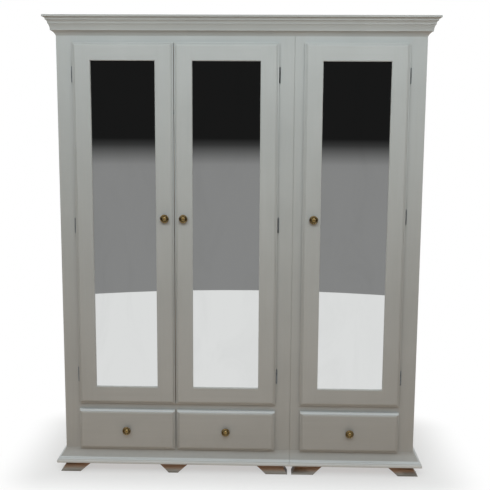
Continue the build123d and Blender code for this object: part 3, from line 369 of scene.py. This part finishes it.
# ---------------------------------------------------------------- lathed knobs and screws
# Profile from the rose to the crown: radius and height in metres; a doubled point keeps an edge crisp.
KNOB_PROFILE = (
    (0.0114, 0.0), (0.0115, 0.0002), (0.0115, 0.0012), (0.0110, 0.0021), (0.0098, 0.0028),
    (0.0083, 0.0033), (0.0074, 0.0045), (0.0071, 0.0065), (0.0073, 0.0085), (0.0084, 0.0104),
    (0.0106, 0.0119), (0.0140, 0.0131), (0.0168, 0.0139), (0.0183, 0.0149), (0.0189, 0.0163),
    (0.0188, 0.0176), (0.0181, 0.0186), (0.0176, 0.0189), (0.0174, 0.0190), (0.0171, 0.0196),
    (0.0165, 0.0201), (0.0159, 0.0201), (0.0153, 0.0197), (0.0149, 0.0190), (0.0147, 0.0188),
    (0.0138, 0.0187), (0.0130, 0.0190), (0.0127, 0.0193), (0.0124, 0.0201), (0.0118, 0.0206),
    (0.0111, 0.0206), (0.0106, 0.0201), (0.0103, 0.0199), (0.0099, 0.0202), (0.0092, 0.0213),
    (0.0080, 0.0225), (0.0064, 0.0236), (0.0046, 0.0243), (0.0025, 0.0247), (0.0, 0.0248),
)
LATHE_SEGMENTS = 48
# Head of the screw that holds a knob, seen from behind: a drive recess, the flat and the countersink.
SCREW_HEAD_PROFILE = (
    (0.0008, 0.0010), (0.0014, 0.0008), (0.0016, 0.0001), (0.0018, 0.0), (0.0039, 0.0),
    (0.0041, 0.0002), (0.0020, 0.0022),
)
SCREW_SHANK_R = 0.0020
# How far the shank and its tip stop short of the front face.
SHANK_SHORT = 0.0010
TIP_SHORT = 0.0002


def lathe(name, seat, profile):
    """Turned solid that starts at seat and points forward."""
    build = bmesh.new()
    rings = []
    for radius, height in profile[:-1]:
        ring = []
        for step in range(LATHE_SEGMENTS):
            turn = 2 * math.pi * step / LATHE_SEGMENTS
            ring.append(build.verts.new((radius * math.cos(turn), -height, radius * math.sin(turn))))
        rings.append(ring)
    crown = build.verts.new((0, -profile[-1][1], 0))
    for low, high in zip(rings, rings[1:]):
        for step in range(LATHE_SEGMENTS):
            after = (step + 1) % LATHE_SEGMENTS
            build.faces.new((low[step], low[after], high[after], high[step]))
    for step in range(LATHE_SEGMENTS):
        build.faces.new((rings[-1][step], rings[-1][(step + 1) % LATHE_SEGMENTS], crown))
    build.faces.new(rings[0][::-1])
    bmesh.ops.recalc_face_normals(build, faces=build.faces)
    mesh = bpy.data.meshes.new(name)
    build.to_mesh(mesh)
    build.free()
    for face in mesh.polygons:
        face.use_smooth = True
    piece = bpy.data.objects.new(name, mesh)
    piece.location = seat
    bpy.context.scene.collection.objects.link(piece)
    return piece


def make_knobs(screw_metal):
    """A lathed knob in place of each plain one, and the screw behind that holds it."""
    brass = knob_brass()
    for door in DOOR_NAMES:
        for kind in ("door", "drawer"):
            low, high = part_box(f"{door}_{kind}_knob")
            face_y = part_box(f"{door}_door_frame")[0].y
            x, z = (low.x + high.x) / 2, (low.z + high.z) / 2
            wood_depth = high.y - face_y
            shank = ((SCREW_SHANK_R, wood_depth - SHANK_SHORT), (0.0, wood_depth - TIP_SHORT))
            screw = lathe(f"{door}_{kind}_knob_screw", (x, high.y, z), SCREW_HEAD_PROFILE + shank)
            screw.data.materials.append(screw_metal)
            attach(screw, f"{door}_{kind}")
            knob = lathe(f"{door}_{kind}_turned_knob", (x, face_y, z), KNOB_PROFILE)
            knob.data.materials.append(brass)
            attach(knob, f"{door}_{kind}")
            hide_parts(f"{door}_{kind}_knob")


# ---------------------------------------------------------------- hand the materials to the nodes
# Widths of the rounded arrises.
BOARD_ROUND = 0.0008
FRAME_ROUND = 0.0009
FRONT_ROUND = 0.0006
FOOT_ROUND = 0.0012


def give(node, material):
    """Put one material in every slot of a CAD node's object."""
    for holder in NODES[node].material_slots:
        holder.link = "OBJECT"
        holder.material = material


def soften(node, width):
    """Arrises rubbed down before painting: weld the mesh and bevel its edges."""
    thing = NODES[node]
    weld = thing.modifiers.new("join_faces", "WELD")
    weld.merge_threshold = 0.00002
    bevel = thing.modifiers.new("arris", "BEVEL")
    bevel.width = width
    bevel.segments = 2
    bevel.limit_method = "ANGLE"
    bevel.angle_limit = math.radians(40)
    bevel.harden_normals = True


def dress_painted():
    """Painted joinery, with the brush running along each board."""
    for door in DOOR_NAMES:
        low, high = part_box(f"{door}_door_frame")
        glass_low, glass_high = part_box(f"{door}_door_mirror")

        def level(g, a=low, b=high, c=glass_low, d=glass_high):
            rails = strip_mask(g, "Z", [(a.z - 1, c.z), (d.z, b.z + 1)])
            between = strip_mask(g, "X", [(c.x + GLASS_LAP, d.x - GLASS_LAP)])
            return g.math("MULTIPLY", rails, between)

        give(f"{door}_door_frame", paint(f"paint_{door}_door", level))
        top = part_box(f"{door}_drawer_front")[1].z
        # Painted highlight along the top edge of the drawer front.
        ridge_highlight = [(top - DRAWER_HIGHLIGHT, top)]
        give(f"{door}_drawer_front", paint(f"paint_{door}_drawer", along="X", pale=ridge_highlight))
    for carcass in ("double", "single"):
        low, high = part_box(f"{carcass}_face_frame")

        def level(g, a=low, b=high):
            rails = strip_mask(g, "Z", FRAME_RAILS)
            between = strip_mask(g, "X", [(a.x + FRAME_STILE, b.x - FRAME_STILE)])
            return g.math("MULTIPLY", rails, between)

        give(f"{carcass}_face_frame", paint(f"paint_{carcass}_frame", level))
        give(f"{carcass}_left_side", paint(f"paint_{carcass}_left_side"))
        give(f"{carcass}_right_side", paint(f"paint_{carcass}_right_side"))
        # Base moulding: painted highlights on its ridges.
        base = paint(f"paint_{carcass}_base", along="X", pale=BASE_RIDGE_HIGHLIGHTS, brush=0.4)
        give(f"{carcass}_base_moulding", base)
        # Feet: greyed evenly and browned on their upper part, both painted shade.
        give(f"{carcass}_front_feet", paint(f"paint_{carcass}_feet", along="X", painted_shade=0.52, foot_shade=True))
    # Cornice: greyed evenly as painted shade of its downward-facing coves.
    give("cornice_moulding", paint("paint_cornice", along="X", painted_shade=0.20, brush=0.15))
    give("cornice_frame", paint("paint_cornice_top", along="X"))


def dress_bare():
    """Bare pine, ply and hardboard inside and behind."""
    across = wood("pine_across", PINE_LIGHT, PINE_DARK, "X")
    deep = wood("pine_deep", PINE_LIGHT, PINE_DARK, "Y")
    ply = wood("birch_ply", grey(222, 198, 158), grey(204, 174, 128), "Y", 7.0, 0.6, knots=False)
    for carcass, boards in (("double", 10), ("single", 5)):
        low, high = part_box(f"{carcass}_back_boards")
        pitch = (high.x - low.x) / boards
        back = wood(f"pine_{carcass}_back", PINE_LIGHT, PINE_DARK, "Z", board=(pitch, low.x))
        give(f"{carcass}_back_boards", back)
        for piece in ("bottom_panel", "drawer_deck", "top_panel"):
            give(f"{carcass}_{piece}", across)
    give("drawer_divider", deep)
    give("drawer_runners", deep)
    give("hat_shelves", across)
    give("rear_feet", across)
    for door in DOOR_NAMES:
        give(f"{door}_drawer_box", deep)
        give(f"{door}_drawer_bottom", ply)
        give(f"{door}_door_mirror_backing", hardboard())


def dress_hardware():
    """Mirrors, hinges, catches, rails and bolts."""
    glass = mirror()
    dark = grey(78, 78, 74)
    dull = grey(116, 118, 122)
    steel = metal("dull_satin_steel", grey(138, 142, 144), grey(104, 107, 108), 0.40, tarnish=dark)
    zinc = metal("zinc_plate", grey(178, 180, 182), grey(150, 152, 156), 0.36, tarnish=dull)
    chrome = metal("bright_chrome", grey(216, 218, 220), grey(200, 202, 206), 0.12)
    for door in DOOR_NAMES:
        give(f"{door}_door_mirror", glass)
        give(f"{door}_door_hinge_leaves", steel)
        give(f"{door}_door_strike_plate", zinc)
    give("frame_hinge_leaves", steel)
    give("hinge_pins", steel)
    give("magnetic_catches", zinc)
    give("connector_bolts", zinc)
    give("hanging_rails", chrome)
    give("rail_sockets", chrome)
    make_knobs(zinc)


def soften_joinery():
    """Small rounds on the arrises of boards, fronts and feet; cornice and base moulding stay as worked."""
    for node in NODES:
        if node.endswith(("_side", "_panel", "_deck", "_box")) or node in ("hat_shelves", "drawer_divider"):
            soften(node, BOARD_ROUND)
    for node in ("double_face_frame", "single_face_frame"):
        soften(node, FRAME_ROUND)
    for door in DOOR_NAMES:
        soften(f"{door}_door_frame", FRONT_ROUND)
        soften(f"{door}_drawer_front", FRONT_ROUND)
    for node in ("double_front_feet", "single_front_feet", "rear_feet"):
        soften(node, FOOT_ROUND)


# ---------------------------------------------------------------- studio and camera
# Places in metres; lens and sensor in millimetres.
CAMERA_PLACE = Vector((0.1146, FRONT_Y - 3.5865, 1.5792))
CAMERA_YAW = math.radians(1.465)
CAMERA_PITCH = math.radians(8.288)
CAMERA_ROLL = math.radians(0.34)
CAMERA_LENS = 60.19347
SENSOR = 36.0
FLOOR_RADIUS = 4.5
FLOOR_DROP = 0.0002
FLOOR_TONE = (0.84, 0.84, 0.83)
FLOOR_BOUNCE = (0.80, 0.61, 0.45)
FLOOR_FADE = 0.30
LAMP_PLACE = (0.0, -2.8, 2.9)
LAMP_TARGET = (0.0, FRONT_Y, 2.25)
LAMP_SIZE = (3.2, 1.2)
LAMP_WATTS = 27
LAMP_TINT = (0.80, 0.93, 1.0)
LAMP_SPREAD = 95


def make_floor():
    """Large pale disc that the armoire stands on; it fades to white away from the feet."""
    mesh = bpy.data.meshes.new("studio_floor")
    build = bmesh.new()
    bmesh.ops.create_circle(build, cap_ends=True, segments=96, radius=FLOOR_RADIUS)
    build.to_mesh(mesh)
    build.free()
    floor = bpy.data.objects.new("studio_floor", mesh)
    floor.location.z = FLOOR_Z - FLOOR_DROP
    bpy.context.scene.collection.objects.link(floor)
    g = Graph("studio_floor_paint")
    rays = g.add("ShaderNodeLightPath")
    half = CAD_BOX[1]
    x, y, _ = g.axes()
    beside = g.math("MAXIMUM", g.math("SUBTRACT", g.math("ABSOLUTE", x), half.x), 0.0)
    before = g.math("MAXIMUM", g.math("SUBTRACT", g.math("ABSOLUTE", y), half.y), 0.0)
    squares = g.math("ADD", g.math("MULTIPLY", beside, beside), g.math("MULTIPLY", before, before))
    gap = g.math("SQRT", squares)
    tone = g.mix(rays.outputs["Is Diffuse Ray"], FLOOR_TONE, FLOOR_BOUNCE)
    g.set(Base_Color=tone, Roughness=0.8)
    white = g.add("ShaderNodeEmission")
    g.feed(white.inputs["Strength"], g.span(rays.outputs["Is Camera Ray"], 0.0, 1.0, 0.78, 1.0))
    away = g.span(gap, 0.0, FLOOR_FADE, 0.5, 1.0)
    unlit = g.math("SUBTRACT", 1.0, rays.outputs["Is Diffuse Ray"])
    blend = g.add("ShaderNodeMixShader")
    g.feed(blend.inputs[0], g.math("MULTIPLY", away, unlit))
    g.feed(blend.inputs[1], g.shader.outputs["BSDF"])
    g.feed(blend.inputs[2], white.outputs["Emission"])
    g.feed(g.output.inputs["Surface"], blend.outputs[0])
    mesh.materials.append(g.material)


def make_lamp():
    """Broad cool light from above the camera, narrowed so that the lower front gets less of it."""
    data = bpy.data.lights.new("front_light", "AREA")
    data.shape = "RECTANGLE"
    data.size, data.size_y = LAMP_SIZE
    data.energy = LAMP_WATTS
    data.color = LAMP_TINT
    data.spread = math.radians(LAMP_SPREAD)
    lamp = bpy.data.objects.new("front_light", data)
    lamp.location = LAMP_PLACE
    aim = Vector(LAMP_TARGET) - Vector(LAMP_PLACE)
    lamp.rotation_euler = aim.to_track_quat("-Z", "Y").to_euler()
    lamp.visible_glossy = False
    bpy.context.scene.collection.objects.link(lamp)


# Sky stops by sine of elevation, from -1 to 1: what the paint gathers, and what gloss reflects.
SOFT_SKY = (
    (-1.0, (0.06, 0.05, 0.04)),
    (-0.05, (0.125, 0.122, 0.116)),
    (0.25, (0.225, 0.222, 0.214)),
    (1.0, (0.86, 0.85, 0.83)),
)
GLOSS_SKY = (
    (-1.0, (0.25, 0.25, 0.25)),
    (-0.048, (0.25, 0.25, 0.25)),
    (-0.020, (0.010, 0.010, 0.010)),
    (0.11, (0.010, 0.010, 0.010)),
    (0.30, (0.85, 0.89, 0.90)),
    (0.55, (2.30, 2.42, 2.45)),
    (1.0, (1.60, 1.66, 1.70)),
)


def sky_background(tree, height, stops):
    """Background whose colour follows the height of the ray."""
    ramp = tree.nodes.new("ShaderNodeValToRGB")
    elements = ramp.color_ramp.elements
    while len(elements) < len(stops):
        elements.new(0.5)
    brightest = max(max(tone) for _, tone in stops)
    for element, (sine, tone) in zip(elements, stops):
        element.position = (sine + 1) / 2
        element.color = (*(part / brightest for part in tone), 1)
    tree.links.new(height, ramp.inputs[0])
    background = tree.nodes.new("ShaderNodeBackground")
    background.inputs["Strength"].default_value = brightest
    tree.links.new(ramp.outputs[0], background.inputs["Color"])
    return background.outputs[0]


def make_world():
    """White to the eye, a soft overhead sky to the paint, and a plain dim studio in the mirrors."""
    world = bpy.data.worlds.new("studio")
    bpy.context.scene.world = world
    world.use_nodes = True
    tree = world.node_tree
    tree.nodes.clear()
    new = tree.nodes.new
    rays = new("ShaderNodeLightPath")
    where = new("ShaderNodeTexCoord")
    axes = new("ShaderNodeSeparateXYZ")
    tree.links.new(where.outputs["Generated"], axes.inputs[0])
    lift = new("ShaderNodeMath")
    lift.operation = "MULTIPLY_ADD"
    lift.inputs[1].default_value = 0.5
    lift.inputs[2].default_value = 0.5
    tree.links.new(axes.outputs[2], lift.inputs[0])
    seen = new("ShaderNodeBackground")
    seen.inputs["Color"].default_value = (1, 1, 1, 1)
    layers = [
        (None, sky_background(tree, lift.outputs[0], SOFT_SKY)),
        (rays.outputs["Is Glossy Ray"], sky_background(tree, lift.outputs[0], GLOSS_SKY)),
        (rays.outputs["Is Camera Ray"], seen.outputs[0]),
    ]
    result = layers[0][1]
    for mask, layer in layers[1:]:
        blend = new("ShaderNodeMixShader")
        tree.links.new(mask, blend.inputs[0])
        tree.links.new(result, blend.inputs[1])
        tree.links.new(layer, blend.inputs[2])
        result = blend.outputs[0]
    tree.links.new(result, new("ShaderNodeOutputWorld").inputs["Surface"])


def make_studio():
    """Floor, world and lamp, shown without any tone curve."""
    make_floor()
    make_world()
    make_lamp()
    bpy.context.scene.view_settings.view_transform = "Standard"


def make_camera():
    """Pinhole camera at the photograph's viewing angle."""
    data = bpy.data.cameras.new("camera")
    data.sensor_width = SENSOR
    data.lens = CAMERA_LENS
    camera = bpy.data.objects.new("camera", data)
    bpy.context.scene.collection.objects.link(camera)
    aim = Vector((-math.sin(CAMERA_YAW) * math.cos(CAMERA_PITCH),
                  math.cos(CAMERA_YAW) * math.cos(CAMERA_PITCH),
                  -math.sin(CAMERA_PITCH)))
    turn = aim.to_track_quat("-Z", "Y").to_matrix().to_4x4()
    camera.matrix_world = Matrix.Translation(CAMERA_PLACE) @ turn @ Matrix.Rotation(CAMERA_ROLL, 4, "Z")
    bpy.context.scene.camera = camera


# ---------------------------------------------------------------- make everything
make_camera()
make_studio()
dress_painted()
dress_bare()
dress_hardware()
soften_joinery()
